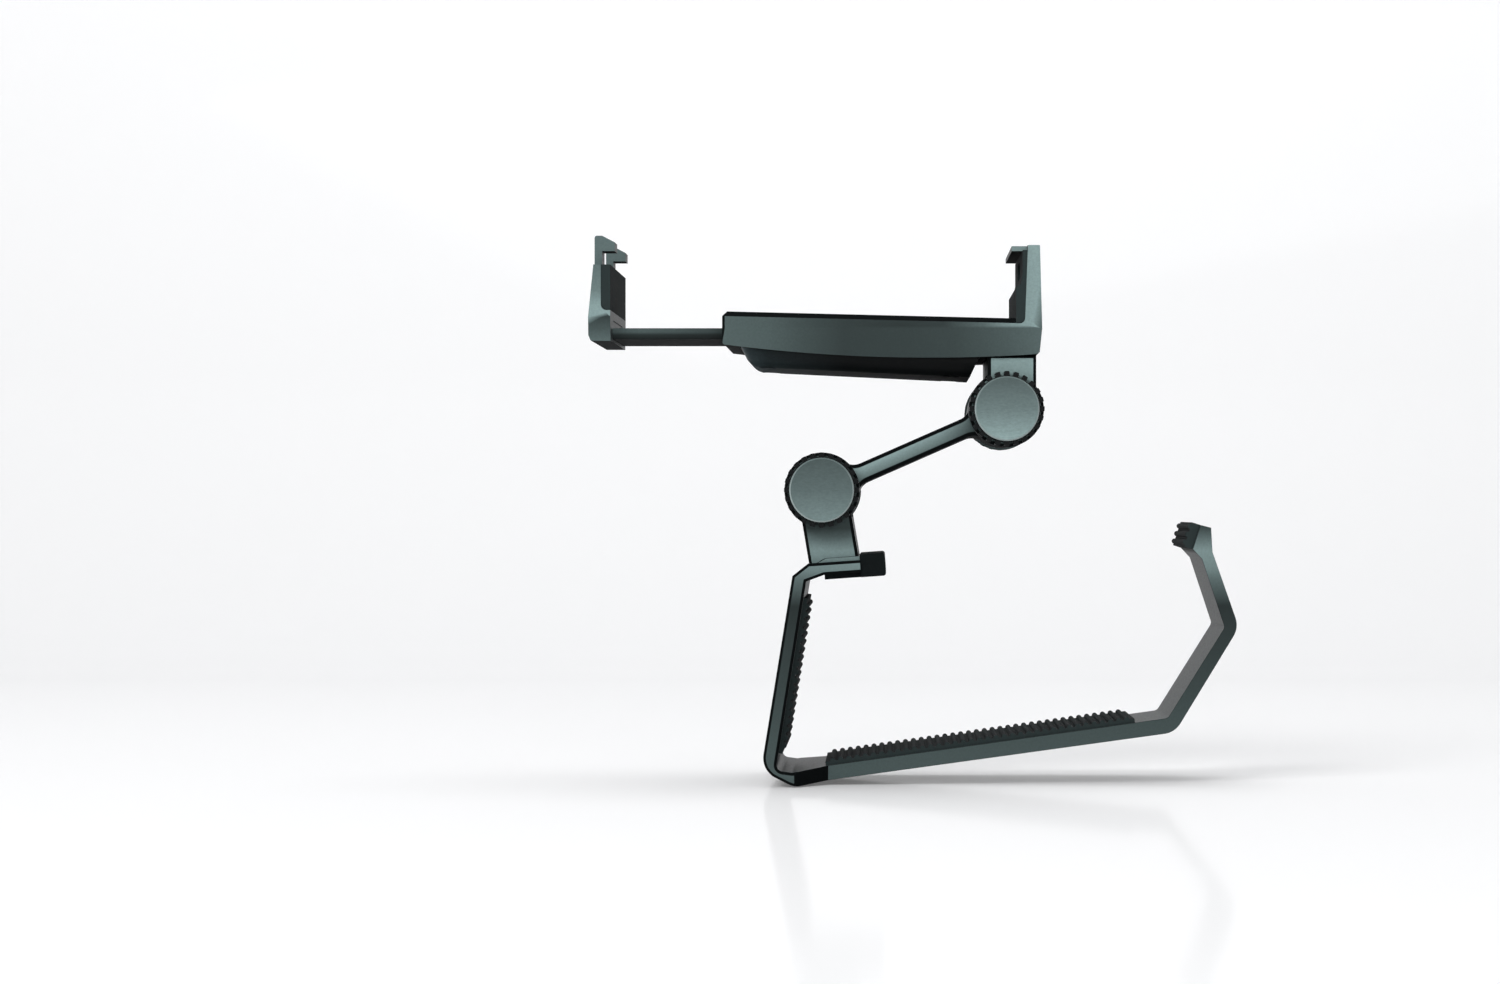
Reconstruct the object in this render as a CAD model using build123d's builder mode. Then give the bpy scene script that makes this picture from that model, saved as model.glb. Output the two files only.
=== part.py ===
from build123d import *
from math import atan2, cos, degrees, hypot, radians, sin, tan
import os

os.makedirs("parts", exist_ok=True)

# A spring clamp on a link arm, held by a cradle that grips a hand-held game pad.
# Millimetres. X runs rearward, Y from the near side to the far side, Z up.
# The origin is the middle of the rubber face that rests on top of the pad.
# Everything is symmetric about the plane Y = 0.

# Pivots
seat_tilt = 4.0
lower_pivot_x = -4.0
lower_pivot_z = 15.9
arm_length = 36.3
arm_angle = 23.7
running_gap = 0.05
bolt_radius = 2.0
bore_clearance = 0.08

# Link arm
arm_width = 26.9
arm_thickness = 3.5
arm_bevel = 0.7
barrel_radius = 6.5
barrel_flare = 3.0
washer_thickness = 0.4
washer_radius = 6.2

# Ears of the two necks
ear_thickness = 4.0
ear_radius = 6.8
ear_bevel = 0.55
neck_shoulder = 1.0
slot_clearance = 0.7

# Toothed wheels, their caps, and the hardware inside them
tooth_count = 24
tooth_root_radius = 5.95
tooth_height = 0.8
tooth_width = 0.95
tooth_round = 0.2
wheel_thickness = 3.5
wheel_floor = 0.7
wheel_gap = 0.15
hex_across = 7.0
hex_clearance = 0.08
hex_thickness = 1.5
cap_radius = 5.8
cap_thickness = 0.8
cap_bevel = 0.25
cap_spigot_radius = 4.9
cap_spigot_depth = 1.1

# Clamp housing, heights above the upper pivot axis
clamp_side_margin = 1.6
clamp_underside = 9.4
front_rise = 2.2
back_rise = 0.5
lowest_place = 22.8
housing_front = 51.2
housing_back = 6.4
front_height = 8.2
back_height = 6.9
crease_rise = 5.1
crease_taper = 0.9
foot_bevel = 0.4
back_foot_lean = 0.4
top_bevel = 0.9
bevel_overrun = 0.2
side_bevel = 0.5

# Fixed jaw
jaw_rise = 13.2
jaw_base_thickness = 3.1
jaw_top_thickness = 2.2
jaw_back_lean = 0.4
lip_reach = 2.8
lip_thickness = 0.9
lip_inset = 3.0
jaw_groove_width = 5.0
jaw_groove_depth = 0.6

# Rubber pads of the jaws
pad_thickness = 0.4
pad_step = 1.2
pad_step_height = 5.6
pad_shelf = 0.35
pad_shelf_rise = 0.6
pad_slope_rise = 1.9
pad_seat = 0.9
pad_inset = 0.1
pad_round = 1.0
pad_window_width = 12.5
pad_window_margin = 1.2
slider_pad_thickness = 1.7

# Slide and its travel
phone_width = 74.2
slide_side = 5.5
slide_thickness = 2.0
slide_rise = 3.4
slide_inside = 27.2
slide_clearance = 0.15
slide_edge = 0.3
slide_head_half = 12.0
slide_head_height = 3.5
slide_head_gap = 0.2
close_gap = 0.15
travel_margin = 0.6

# Space inside the housing and its cover
cover_side_wall = 5.8
cover_front = 48.1
cover_back = 4.9
cover_inset = 3.5
cover_depth_front = 3.8
cover_depth_back = 5.7
cover_seat = 2.2
cover_wall = 1.2
cover_round = 3.0
cover_front_slope = 1.8
cover_nose_round = 3.2
cover_back_slope = 1.6

# Return spring
anchor_x = -8.2
anchor_radius = 1.0
anchor_grip = 0.9
spring_span = 29.0
spring_wire = 0.3
spring_radius = 1.5
spring_turns = 7
spring_drop = 1.9
loop_turn = 300
knuckle_swell = 1.4
post_reach = 2.6

# Sliding jaw
slider_jaw_wall = 1.8
slider_jaw_base = 4.0
slider_jaw_lean = 0.95
slider_foot_drop = 0.5
slider_foot_bevel = 0.5
slider_block_height = 1.7
slider_notch_rise = 8.4
web_rise = 16.6
prong_crown = 1.2
prong_inset = 3.0
prong_width = 6.0
prong_lip_reach = 2.3
prong_lip_thickness = 1.6
prong_round = 0.9

# Upper neck
neck_width = 8.7
neck_shift = 1.05
neck_seat = 0.8

# Screws
screw_radius = 0.8
screw_head_radius = 1.6
screw_head_height = 1.0
screw_clearance = 0.1
screw_recess = 0.5
screw_recess_width = 0.5
cover_screw_inset = 5.0
cover_screw_side = 3.4
cover_screw_bite = 0.8
cover_screw_floor = 1.6
jaw_screw_offset = 8.0
jaw_screw_bite = 1.7
neck_screw_x = -0.8
neck_screw_floor = 1.8
neck_screw_bite = 4.0

# Cradle
saddle_side_margin = 2.1
saddle_thickness = 2.2
saddle_front = 6.3
saddle_rear = 6.6
saddle_pad_thickness = 0.9
neck_lean = 9.5
lower_neck_width = 9.0
lower_neck_sink = 1.0
plinth_height = 0.7
plinth_front = 3.2
plinth_sink = 1.0
plinth_inset = 1.4
shoulder_run = 2.8
shoulder_drop = 2.2
shoulder_bevel = 1.0
wall_lean = 9.2
wall_height = 35.0
wall_thickness = 2.65
strap_thickness = 2.6
strap_width = 27.0
strap_rise = 9.5
strap_round = 4.0
strap_inner_round = 1.2
strap_corner = 6.0
strap_rear_x = 60.0
bulge_x = 71.6
bulge_z = -9.0
hook_x = 66.8
hook_z = 4.7
hook_height = 4.4
hook_lean = 18.0
hook_shell = 1.9
hook_bevel = 0.5
boot_front = 3.1
boot_rear = 7.6
boot_rise = 1.0
boot_inset = 0.6
boot_wall = 2.4
cradle_bevel = 0.5
liner_thickness = 1.2
liner_inset = 3.0
liner_rib = 0.5
liner_rib_pitch = 1.5
hook_pad_thickness = 2.1

# Worked out from the sizes above
bevel_square = 2**0.5
upper_pivot_x = lower_pivot_x + arm_length * cos(radians(arm_angle))
upper_pivot_z = lower_pivot_z + arm_length * sin(radians(arm_angle))
lower_pivot = (lower_pivot_x, lower_pivot_z)
upper_pivot = (upper_pivot_x, upper_pivot_z)
ear_inner = arm_width / 2 + washer_thickness + running_gap
ear_outer = ear_inner + ear_thickness
wheel_inner = ear_outer + wheel_gap
wheel_outer = wheel_inner + wheel_thickness
bore_radius = bolt_radius + bore_clearance
clamp_width = 2 * (ear_outer + clamp_side_margin)
saddle_width = 2 * (ear_outer + saddle_side_margin)
slide_width = clamp_width - 2 * slide_side
cover_half_width = clamp_width / 2 - cover_inset
cover_screw_offset = cover_half_width - cover_screw_side
cavity_half_width = cover_half_width - cover_side_wall
prong_offset = clamp_width / 2 - prong_inset - prong_width / 2


def side_plane(x, z, tilt=0.0):
    """Side view plane through a point, its x axis raised by the tilt."""
    return Plane(
        origin=(x, 0, z),
        x_dir=(cos(radians(tilt)), 0, sin(radians(tilt))),
        z_dir=(0, -1, 0),
    )


def outward_plane(pivot, side, distance):
    """Plane across a pivot axis at a distance from the middle, facing outward."""
    return Plane(
        origin=(pivot[0], side * distance, pivot[1]),
        x_dir=(1, 0, 0),
        z_dir=(0, side, 0),
    )


def save(piece, label):
    """Name a finished piece and write it."""
    piece.part.label = label
    export_step(piece.part, f"parts/{label}.step")


# Link arm: a flat bar that flares into a barrel at each end
with BuildPart() as link_arm:
    with BuildSketch(side_plane(*lower_pivot, arm_angle)) as arm_side:
        with Locations((0, 0), (arm_length, 0)):
            Circle(barrel_radius)
        with Locations((arm_length / 2, 0)):
            Rectangle(arm_length, arm_thickness)
        corners = arm_side.vertices().filter_by(lambda v: abs(abs(v.Y) - arm_thickness / 2) < 0.01)
        fillet(corners, barrel_flare)
    extrude(amount=arm_width / 2, both=True)
    chamfer(link_arm.faces().filter_by(Axis.Y).edges(), arm_bevel)
    with BuildSketch(side_plane(*lower_pivot, arm_angle)):
        with Locations((0, 0), (arm_length, 0)):
            Circle(bore_radius)
    extrude(amount=arm_width, both=True, mode=Mode.SUBTRACT)
save(link_arm, "link_arm")


# Friction washers, one on each side of a barrel
def make_washers(pivot, label):
    with BuildPart() as washers:
        for side in (-1, 1):
            with BuildSketch(outward_plane(pivot, side, ear_inner - washer_thickness)):
                Circle(washer_radius)
                Circle(bore_radius, mode=Mode.SUBTRACT)
            extrude(amount=washer_thickness)
    save(washers, label)


# Toothed wheel, with a hexagonal pocket for the bolt head or the nut
def make_wheel(pivot, side, label):
    pocket_start = wheel_inner + wheel_floor
    recess_start = wheel_outer - cap_spigot_depth
    with BuildPart() as wheel:
        with BuildSketch(outward_plane(pivot, side, wheel_inner)) as outline:
            Circle(tooth_root_radius)
            with PolarLocations(tooth_root_radius, tooth_count):
                Rectangle(2 * tooth_height, tooth_width)
            tip_limit = tooth_root_radius + tooth_height / 2
            tips = outline.vertices().filter_by(lambda v: Vector(v.X, v.Y).length > tip_limit)
            fillet(tips, tooth_round)
        extrude(amount=wheel_thickness)
        with BuildSketch(outward_plane(pivot, side, wheel_inner)):
            Circle(bore_radius)
        extrude(amount=wheel_floor, mode=Mode.SUBTRACT)
        with BuildSketch(outward_plane(pivot, side, pocket_start)):
            RegularPolygon(hex_across / 2 + hex_clearance, 6, major_radius=False)
        extrude(amount=recess_start - pocket_start, mode=Mode.SUBTRACT)
        with BuildSketch(outward_plane(pivot, side, recess_start)):
            Circle(cap_spigot_radius + hex_clearance)
        extrude(amount=cap_spigot_depth, mode=Mode.SUBTRACT)
    save(wheel, label)


# Smooth cap on the face of a wheel
def make_cap(pivot, side, label):
    with BuildPart() as cap:
        with BuildSketch(outward_plane(pivot, side, wheel_outer)):
            Circle(cap_radius)
        extrude(amount=cap_thickness)
        rim = cap.edges().filter_by(GeomType.CIRCLE).group_by(Axis.Y)[-1 if side > 0 else 0]
        chamfer(rim, cap_bevel)
        with BuildSketch(outward_plane(pivot, side, wheel_outer)):
            Circle(cap_spigot_radius)
        extrude(amount=-(cap_spigot_depth - hex_clearance))
    save(cap, label)


# Bolt: its head turns with the near wheel, its shank ends level with the nut
def make_bolt(pivot, label):
    head_start = wheel_inner + wheel_floor
    with BuildPart() as bolt:
        with BuildSketch(outward_plane(pivot, -1, head_start)):
            RegularPolygon(hex_across / 2, 6, major_radius=False)
        extrude(amount=hex_thickness)
        with BuildSketch(outward_plane(pivot, -1, head_start)):
            Circle(bolt_radius)
        extrude(amount=-(2 * head_start + hex_thickness))
    save(bolt, label)


# Nut, held in the far wheel
def make_nut(pivot, label):
    with BuildPart() as nut:
        with BuildSketch(outward_plane(pivot, 1, wheel_inner + wheel_floor)):
            RegularPolygon(hex_across / 2, 6, major_radius=False)
            Circle(bore_radius, mode=Mode.SUBTRACT)
        extrude(amount=hex_thickness)
    save(nut, label)


for joint_name, pivot in (("lower", lower_pivot), ("upper", upper_pivot)):
    make_washers(pivot, f"{joint_name}_washers")
    make_bolt(pivot, f"{joint_name}_bolt")
    make_nut(pivot, f"{joint_name}_nut")
    for side_name, side in (("near", -1), ("far", 1)):
        make_wheel(pivot, side, f"{joint_name}_{side_name}_knob")
        make_cap(pivot, side, f"{joint_name}_{side_name}_cap")

# Levels and places of the clamp, measured from the upper pivot axis
clamp_side = side_plane(*upper_pivot)
front_top = clamp_underside + front_height
back_top = clamp_underside + back_height
crease_level = clamp_underside + crease_rise
jaw_top = back_top + jaw_rise
jaw_inner_base = housing_back - jaw_base_thickness
jaw_outer_top = housing_back - jaw_back_lean
jaw_inner_top = jaw_outer_top - jaw_top_thickness
lip_underside = jaw_top - lip_thickness
slide_bottom = clamp_underside + slide_rise
slide_top = slide_bottom + slide_thickness
pad_face = jaw_inner_base - pad_thickness
step_face = pad_face - pad_step
pad_floor = back_top - pad_seat
step_top = back_top + pad_step_height
slope_top = step_top + pad_shelf_rise + pad_slope_rise
slider_pad_face = pad_face - phone_width
slider_inner = slider_pad_face - slider_pad_thickness
slider_outer = slider_pad_face - slider_jaw_base
slide_head = slider_outer + slider_jaw_wall
close_travel = -housing_front - close_gap - slider_pad_face
slide_tail = -housing_front + slide_inside
channel_end = slide_tail + close_travel + travel_margin
cover_level = clamp_underside + cover_seat
spring_room = (-cover_front + cover_wall, -cover_back - cover_wall)
neck_level = clamp_underside + neck_seat
post_x = anchor_x - spring_span
cover_screw_xs = (-cover_front + cover_screw_inset, -cover_back - cover_screw_inset)
neck_screw_offset = (ear_inner + ear_outer) / 2
jaw_screw_level = slide_bottom + slide_head_height / 2
jaw_screw_plane = Plane(
    origin=(upper_pivot_x + slider_outer + screw_head_height, 0, upper_pivot_z + jaw_screw_level),
    x_dir=(0, 1, 0),
    z_dir=(1, 0, 0),
)
jaw_screw_places = [(side * jaw_screw_offset, 0) for side in (-1, 1)]


def clamp_plane(level):
    """Horizontal plane at a level above the upper pivot, centred on the pivot."""
    return Plane.XY.offset(upper_pivot_z + level).shift_origin((upper_pivot_x, 0, upper_pivot_z + level))


def housing_top_at(x):
    """Height of the housing's sloping top at a place along it."""
    share = (x + housing_front - top_bevel) / (jaw_inner_base + housing_front - top_bevel)
    return front_top + (back_top - front_top) * share


# Clamp housing: a long box, open underneath, with the fixed jaw at its back end
with BuildPart() as clamp_housing:
    with BuildSketch(clamp_side) as housing_outline:
        with BuildLine():
            foot_start = (-housing_front + foot_bevel, clamp_underside + front_rise)
            foot_end = (housing_back - back_foot_lean - foot_bevel, clamp_underside + back_rise)
            ThreePointArc(foot_start, (-lowest_place, clamp_underside), foot_end)
            Polyline(
                foot_end,
                (housing_back - back_foot_lean, foot_end[1] + foot_bevel),
                (housing_back, crease_level),
                (jaw_outer_top, jaw_top),
                (jaw_inner_top - lip_reach, jaw_top),
                (jaw_inner_top - lip_reach, lip_underside),
                (jaw_inner_top, lip_underside),
                (jaw_inner_base, pad_floor),
                (step_face, pad_floor),
                (step_face, housing_top_at(step_face)),
                (-housing_front + top_bevel, front_top),
                (-housing_front, front_top - top_bevel),
                (-housing_front, foot_start[1] + foot_bevel),
                foot_start,
            )
        make_face()
        jaw_corner = housing_outline.vertices().sort_by_distance(Vector(jaw_inner_base, pad_floor))[0]
        fillet(jaw_corner, pad_round)
    extrude(amount=clamp_width / 2, both=True)

    # The sides lean inward below the crease
    for side in (-1, 1):
        side_face = side * clamp_width / 2
        with BuildSketch(Plane.YZ.offset(upper_pivot_x + 2 * housing_back)):
            with BuildLine():
                Polyline(
                    (side_face, upper_pivot_z + crease_level),
                    (side_face - side * crease_taper, upper_pivot_z + clamp_underside),
                    (side_face - side * crease_taper, upper_pivot_z),
                    (side_face + side * crease_taper, upper_pivot_z),
                    (side_face + side * crease_taper, upper_pivot_z + crease_level),
                    close=True,
                )
            make_face()
        extrude(amount=-(housing_front + 4 * housing_back), mode=Mode.SUBTRACT)

    # Bevels along the sloping top edges and down the front corners
    top_run = Vector(jaw_inner_base + housing_front - top_bevel, 0, back_top - front_top)
    for side in (-1, 1):
        bevel_start = step_face + bevel_overrun
        bevel_level = upper_pivot_z + housing_top_at(bevel_start)
        top_corner = Vector(upper_pivot_x + bevel_start, side * clamp_width / 2, bevel_level)
        with BuildSketch(Plane(origin=top_corner, x_dir=(0, 1, 0), z_dir=top_run)):
            Rectangle(bevel_square * top_bevel, bevel_square * top_bevel, rotation=45)
        extrude(amount=-(top_run.length + 2 * top_bevel), mode=Mode.SUBTRACT)
    with BuildSketch(clamp_plane(0)):
        with Locations((-housing_front, -clamp_width / 2), (-housing_front, clamp_width / 2)):
            Rectangle(bevel_square * side_bevel, bevel_square * side_bevel, rotation=45)
    extrude(amount=2 * front_top, mode=Mode.SUBTRACT)

    # The lip covers only the middle of the jaw's width
    for side in (-1, 1):
        with BuildSketch(clamp_side.offset(-side * clamp_width / 2)):
            with Locations((jaw_inner_top - lip_reach, lip_underside)):
                Rectangle(lip_reach, lip_thickness, align=(Align.MIN, Align.MIN))
        extrude(amount=side * lip_inset, mode=Mode.SUBTRACT)

    # Shallow groove up the back of the jaw
    with BuildSketch(Plane.YZ.offset(upper_pivot_x + housing_back)):
        with Locations((0, upper_pivot_z + crease_level + jaw_top / 2)):
            Rectangle(jaw_groove_width, jaw_top)
    extrude(amount=-jaw_groove_depth, mode=Mode.SUBTRACT)

    # Channel for the slide, open at the front end
    with BuildSketch(clamp_plane(slide_bottom - slide_clearance)):
        with Locations((channel_end, 0)):
            channel_length = channel_end + 2 * housing_front
            Rectangle(channel_length, slide_width + 2 * slide_clearance, align=(Align.MAX, Align.CENTER))
    extrude(amount=slide_thickness + 2 * slide_clearance, mode=Mode.SUBTRACT)

    # Room for the spring, and the seats of the cover and the neck
    with BuildSketch(clamp_plane(slide_bottom)):
        with Locations((spring_room[0], 0)):
            room_length = spring_room[1] - spring_room[0]
            Rectangle(room_length, 2 * cavity_half_width, align=(Align.MIN, Align.CENTER))
    extrude(amount=-slide_bottom, mode=Mode.SUBTRACT)
    with BuildSketch(clamp_plane(cover_level)):
        with Locations((-cover_front - slide_clearance, 0)):
            seat_length = cover_front - cover_back + 2 * slide_clearance
            seat_width = 2 * (cover_half_width + slide_clearance)
            Rectangle(seat_length, seat_width, align=(Align.MIN, Align.CENTER))
    extrude(amount=-cover_level, mode=Mode.SUBTRACT)
    with BuildSketch(clamp_plane(neck_level)):
        with Locations((neck_shift, 0)):
            Rectangle(neck_width + 2 * slide_clearance, 2 * (ear_outer + slide_clearance))
    extrude(amount=-neck_level, mode=Mode.SUBTRACT)

    # Holes for the spring anchor, the cover screws and the neck screws
    with BuildSketch(clamp_plane(slide_top)):
        with Locations((anchor_x, 0)):
            Circle(anchor_radius)
    extrude(amount=slide_clearance + anchor_grip, mode=Mode.SUBTRACT)
    with BuildSketch(clamp_plane(cover_level)):
        for hole_x in cover_screw_xs:
            with Locations((hole_x, -cover_screw_offset), (hole_x, cover_screw_offset)):
                Circle(screw_radius)
    extrude(amount=cover_screw_bite, mode=Mode.SUBTRACT)
    with BuildSketch(clamp_plane(neck_level)):
        with Locations((neck_screw_x, -neck_screw_offset), (neck_screw_x, neck_screw_offset)):
            Circle(screw_radius)
    extrude(amount=neck_screw_floor, mode=Mode.SUBTRACT)
    with BuildSketch(clamp_plane(neck_level + neck_screw_floor)):
        with Locations((neck_screw_x, -neck_screw_offset), (neck_screw_x, neck_screw_offset)):
            Circle(screw_head_radius + screw_clearance)
    extrude(amount=front_top, mode=Mode.SUBTRACT)
save(clamp_housing, "clamp_housing")

# Underside cover, a rounded bulge with room for the spring
with BuildPart() as clamp_cover:
    front_low = cover_level - cover_depth_front
    back_low = cover_level - cover_depth_back
    with BuildSketch(clamp_side) as cover_outline:
        with BuildLine():
            Polyline(
                (-cover_front, cover_level),
                (-cover_front + cover_front_slope, front_low),
                (-cover_back - cover_back_slope, back_low),
                (-cover_back, clamp_underside),
                (-cover_back, cover_level),
                close=True,
            )
        make_face()
        nose = cover_outline.vertices().sort_by(Axis.X)[1]
        fillet(nose, cover_nose_round)
    extrude(amount=cover_half_width, both=True)
    low_edges = clamp_cover.faces().sort_by(Axis.Z)[0].edges().filter_by(Plane.XZ)
    fillet(low_edges, cover_round)

    # Hollow over the spring, following the sloping bottom
    with BuildSketch(clamp_side):
        with BuildLine():
            Polyline(
                (spring_room[0], cover_level),
                (spring_room[0] + cover_front_slope, front_low + cover_wall),
                (spring_room[1] - cover_back_slope, back_low + cover_wall),
                (spring_room[1], cover_level),
                close=True,
            )
        make_face()
    extrude(amount=cavity_half_width, both=True, mode=Mode.SUBTRACT)

    # Deep wells for the four screws
    with BuildSketch(clamp_plane(cover_level)):
        for hole_x in cover_screw_xs:
            with Locations((hole_x, -cover_screw_offset), (hole_x, cover_screw_offset)):
                Circle(screw_radius)
    extrude(amount=-cover_screw_floor, mode=Mode.SUBTRACT)
    with BuildSketch(clamp_plane(cover_level - cover_screw_floor)):
        for hole_x in cover_screw_xs:
            with Locations((hole_x, -cover_screw_offset), (hole_x, cover_screw_offset)):
                Circle(screw_head_radius + screw_clearance)
    extrude(amount=-cover_level, mode=Mode.SUBTRACT)
save(clamp_cover, "clamp_cover")


# Screws: a round head with a cross recess, and a plain shank
def make_screws(seat, places, shank, label):
    """Screws whose heads stand behind the seat plane and whose shanks run along its normal."""
    with BuildPart() as screws:
        with BuildSketch(seat):
            with Locations(*places):
                Circle(screw_head_radius)
        extrude(amount=-screw_head_height)
        with BuildSketch(seat):
            with Locations(*places):
                Circle(screw_radius)
        extrude(amount=shank)
        with BuildSketch(seat.offset(-screw_head_height)):
            with Locations(*places):
                Rectangle(1.5 * screw_head_radius, screw_recess_width)
                Rectangle(screw_recess_width, 1.5 * screw_head_radius)
        extrude(amount=screw_recess, mode=Mode.SUBTRACT)
    save(screws, label)


cover_screw_places = [(x, side * cover_screw_offset) for x in cover_screw_xs for side in (-1, 1)]
cover_screw_seat = clamp_plane(cover_level - cover_screw_floor)
make_screws(cover_screw_seat, cover_screw_places, cover_screw_floor + cover_screw_bite, "cover_screws")
neck_screw_places = [(neck_screw_x, side * neck_screw_offset) for side in (-1, 1)]
neck_screw_seat = -clamp_plane(neck_level + neck_screw_floor)
make_screws(neck_screw_seat, neck_screw_places, neck_screw_floor + neck_screw_bite, "neck_screws")
jaw_screw_shank = slider_jaw_wall - screw_head_height + jaw_screw_bite
make_screws(jaw_screw_plane, jaw_screw_places, jaw_screw_shank, "jaw_screws")

# Rubber pad of the fixed jaw, thicker at its foot, with a window in its thin part
with BuildPart() as fixed_jaw_pad:
    with BuildSketch(clamp_side) as pad_outline:
        with BuildLine():
            Polyline(
                (jaw_inner_base, pad_floor),
                (jaw_inner_top, lip_underside),
                (pad_face, lip_underside),
                (pad_face, slope_top),
                (pad_face - pad_shelf, slope_top - pad_slope_rise),
                (step_face, step_top),
                (step_face, pad_floor),
                close=True,
            )
        make_face()
        pad_corner = pad_outline.vertices().sort_by_distance(Vector(jaw_inner_base, pad_floor))[0]
        fillet(pad_corner, pad_round + slide_clearance)
    extrude(amount=clamp_width / 2 - pad_inset, both=True)
    with BuildSketch(clamp_side):
        with Locations((pad_face, slope_top)):
            window_height = lip_underside - slope_top - pad_window_margin
            Rectangle(2 * jaw_base_thickness, window_height, align=(Align.CENTER, Align.MIN))
    extrude(amount=pad_window_width / 2, both=True, mode=Mode.SUBTRACT)
save(fixed_jaw_pad, "fixed_jaw_pad")

# Sliding jaw: a foot round the slide's front end, a web, and two hooked prongs
foot_level = slide_bottom - slider_foot_drop
block_top = slide_top + slider_block_height
notch_level = clamp_underside + slider_notch_rise
web_top = clamp_underside + web_rise
prong_top = lip_underside + prong_lip_thickness + prong_crown
slider_lean_face = slider_outer + slider_jaw_lean

with BuildPart() as sliding_jaw:
    with BuildSketch(clamp_side) as jaw_outline:
        with BuildLine():
            Polyline(
                (slider_outer + slider_foot_bevel, foot_level),
                (slider_pad_face, foot_level),
                (slider_pad_face, notch_level),
                (slider_inner, notch_level),
                (slider_inner, web_top),
                (slider_lean_face, web_top),
                (slider_outer, block_top),
                (slider_outer, foot_level + slider_foot_bevel),
                close=True,
            )
        make_face()
        notch_corner = jaw_outline.vertices().sort_by_distance(Vector(slider_inner, notch_level))[0]
        fillet(notch_corner, pad_round)
    extrude(amount=clamp_width / 2, both=True)
    for side in (-1, 1):
        side_face = side * clamp_width / 2
        with BuildSketch(Plane.YZ.offset(upper_pivot_x + slider_outer - slider_jaw_base)):
            with BuildLine():
                Polyline(
                    (side_face, upper_pivot_z + block_top),
                    (side_face - side * crease_taper, upper_pivot_z + foot_level),
                    (side_face + side * crease_taper, upper_pivot_z + foot_level),
                    (side_face + side * crease_taper, upper_pivot_z + block_top),
                    close=True,
                )
            make_face()
        extrude(amount=3 * slider_jaw_base, mode=Mode.SUBTRACT)
    outer_face = sliding_jaw.faces().sort_by(Axis.X)[0]
    chamfer(outer_face.edges().filter_by(Axis.Y), side_bevel)

    # Two hooked prongs that reach over the edge of the phone
    for side in (-1, 1):
        with BuildSketch(clamp_side.offset(-side * prong_offset)) as prong_outline:
            with BuildLine():
                Polyline(
                    (slider_lean_face, web_top - prong_width / 2),
                    (slider_inner, web_top - prong_width / 2),
                    (slider_inner, lip_underside),
                    (slider_inner + prong_lip_reach, lip_underside),
                    (slider_inner + prong_lip_reach, lip_underside + prong_lip_thickness),
                    (slider_inner, prong_top),
                    (slider_lean_face, prong_top),
                    close=True,
                )
            make_face()
            crown = prong_outline.vertices().group_by(Axis.Y)[-1]
            fillet(crown, prong_round / 2)
        extrude(amount=prong_width / 2, both=True)

    # Pocket for the head of the slide, and holes for its two screws
    with BuildSketch(clamp_plane(slide_bottom)):
        with Locations((slide_head, 0)):
            Rectangle(2 * slider_jaw_base, slide_width, align=(Align.MIN, Align.CENTER))
    extrude(amount=slide_thickness, mode=Mode.SUBTRACT)
    with BuildSketch(clamp_plane(slide_bottom)):
        with Locations((slide_head, 0)):
            Rectangle(2 * slider_jaw_base, 2 * slide_head_half, align=(Align.MIN, Align.CENTER))
    extrude(amount=slide_head_height, mode=Mode.SUBTRACT)
    with BuildSketch(jaw_screw_plane):
        with Locations(*jaw_screw_places):
            Circle(screw_radius)
    extrude(amount=slider_jaw_base, mode=Mode.SUBTRACT)
    with BuildSketch(jaw_screw_plane):
        with Locations(*jaw_screw_places):
            Circle(screw_head_radius + screw_clearance)
    extrude(amount=-slider_jaw_base, mode=Mode.SUBTRACT)
save(sliding_jaw, "sliding_jaw")

# Rubber pad of the sliding jaw, set flush in the notch above the foot
with BuildPart() as sliding_jaw_pad:
    with BuildSketch(clamp_side) as slider_pad:
        with Locations((slider_inner, notch_level)):
            Rectangle(slider_pad_thickness, web_top - notch_level, align=(Align.MIN, Align.MIN))
        pad_corner = slider_pad.vertices().sort_by_distance(Vector(slider_inner, notch_level))[0]
        fillet(pad_corner, pad_round + slide_clearance)
    extrude(amount=clamp_width / 2 - pad_inset, both=True)
save(sliding_jaw_pad, "sliding_jaw_pad")

# Slide: a flat plate with a thick head, a spring post, and a notch in its tail
with BuildPart() as slide_plate:
    with BuildSketch(clamp_plane(slide_bottom)) as plate_outline:
        with Locations((slide_head, 0)):
            Rectangle(slide_tail - slide_head, slide_width, align=(Align.MIN, Align.CENTER))
        fillet(plate_outline.vertices().group_by(Axis.X)[-1], slide_edge)
        notch_reach = slide_tail + close_travel - anchor_x + anchor_radius + travel_margin
        with Locations((slide_tail, 0)):
            notch_width = 2 * (anchor_radius + travel_margin)
            Rectangle(notch_reach, notch_width, align=(Align.MAX, Align.CENTER), mode=Mode.SUBTRACT)
    extrude(amount=slide_thickness)
    with BuildSketch(clamp_plane(slide_bottom)):
        with Locations((slide_head, 0)):
            head_length = slider_pad_face - slide_head - slide_head_gap
            Rectangle(head_length, 2 * slide_head_half, align=(Align.MIN, Align.CENTER))
    extrude(amount=slide_head_height)
    with BuildSketch(jaw_screw_plane):
        with Locations(*jaw_screw_places):
            Circle(screw_radius)
    extrude(amount=jaw_screw_shank, mode=Mode.SUBTRACT)
    with BuildSketch(clamp_plane(slide_bottom)):
        with Locations((post_x, 0)):
            Circle(anchor_radius)
    extrude(amount=-post_reach)
save(slide_plate, "slide_plate")

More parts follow.
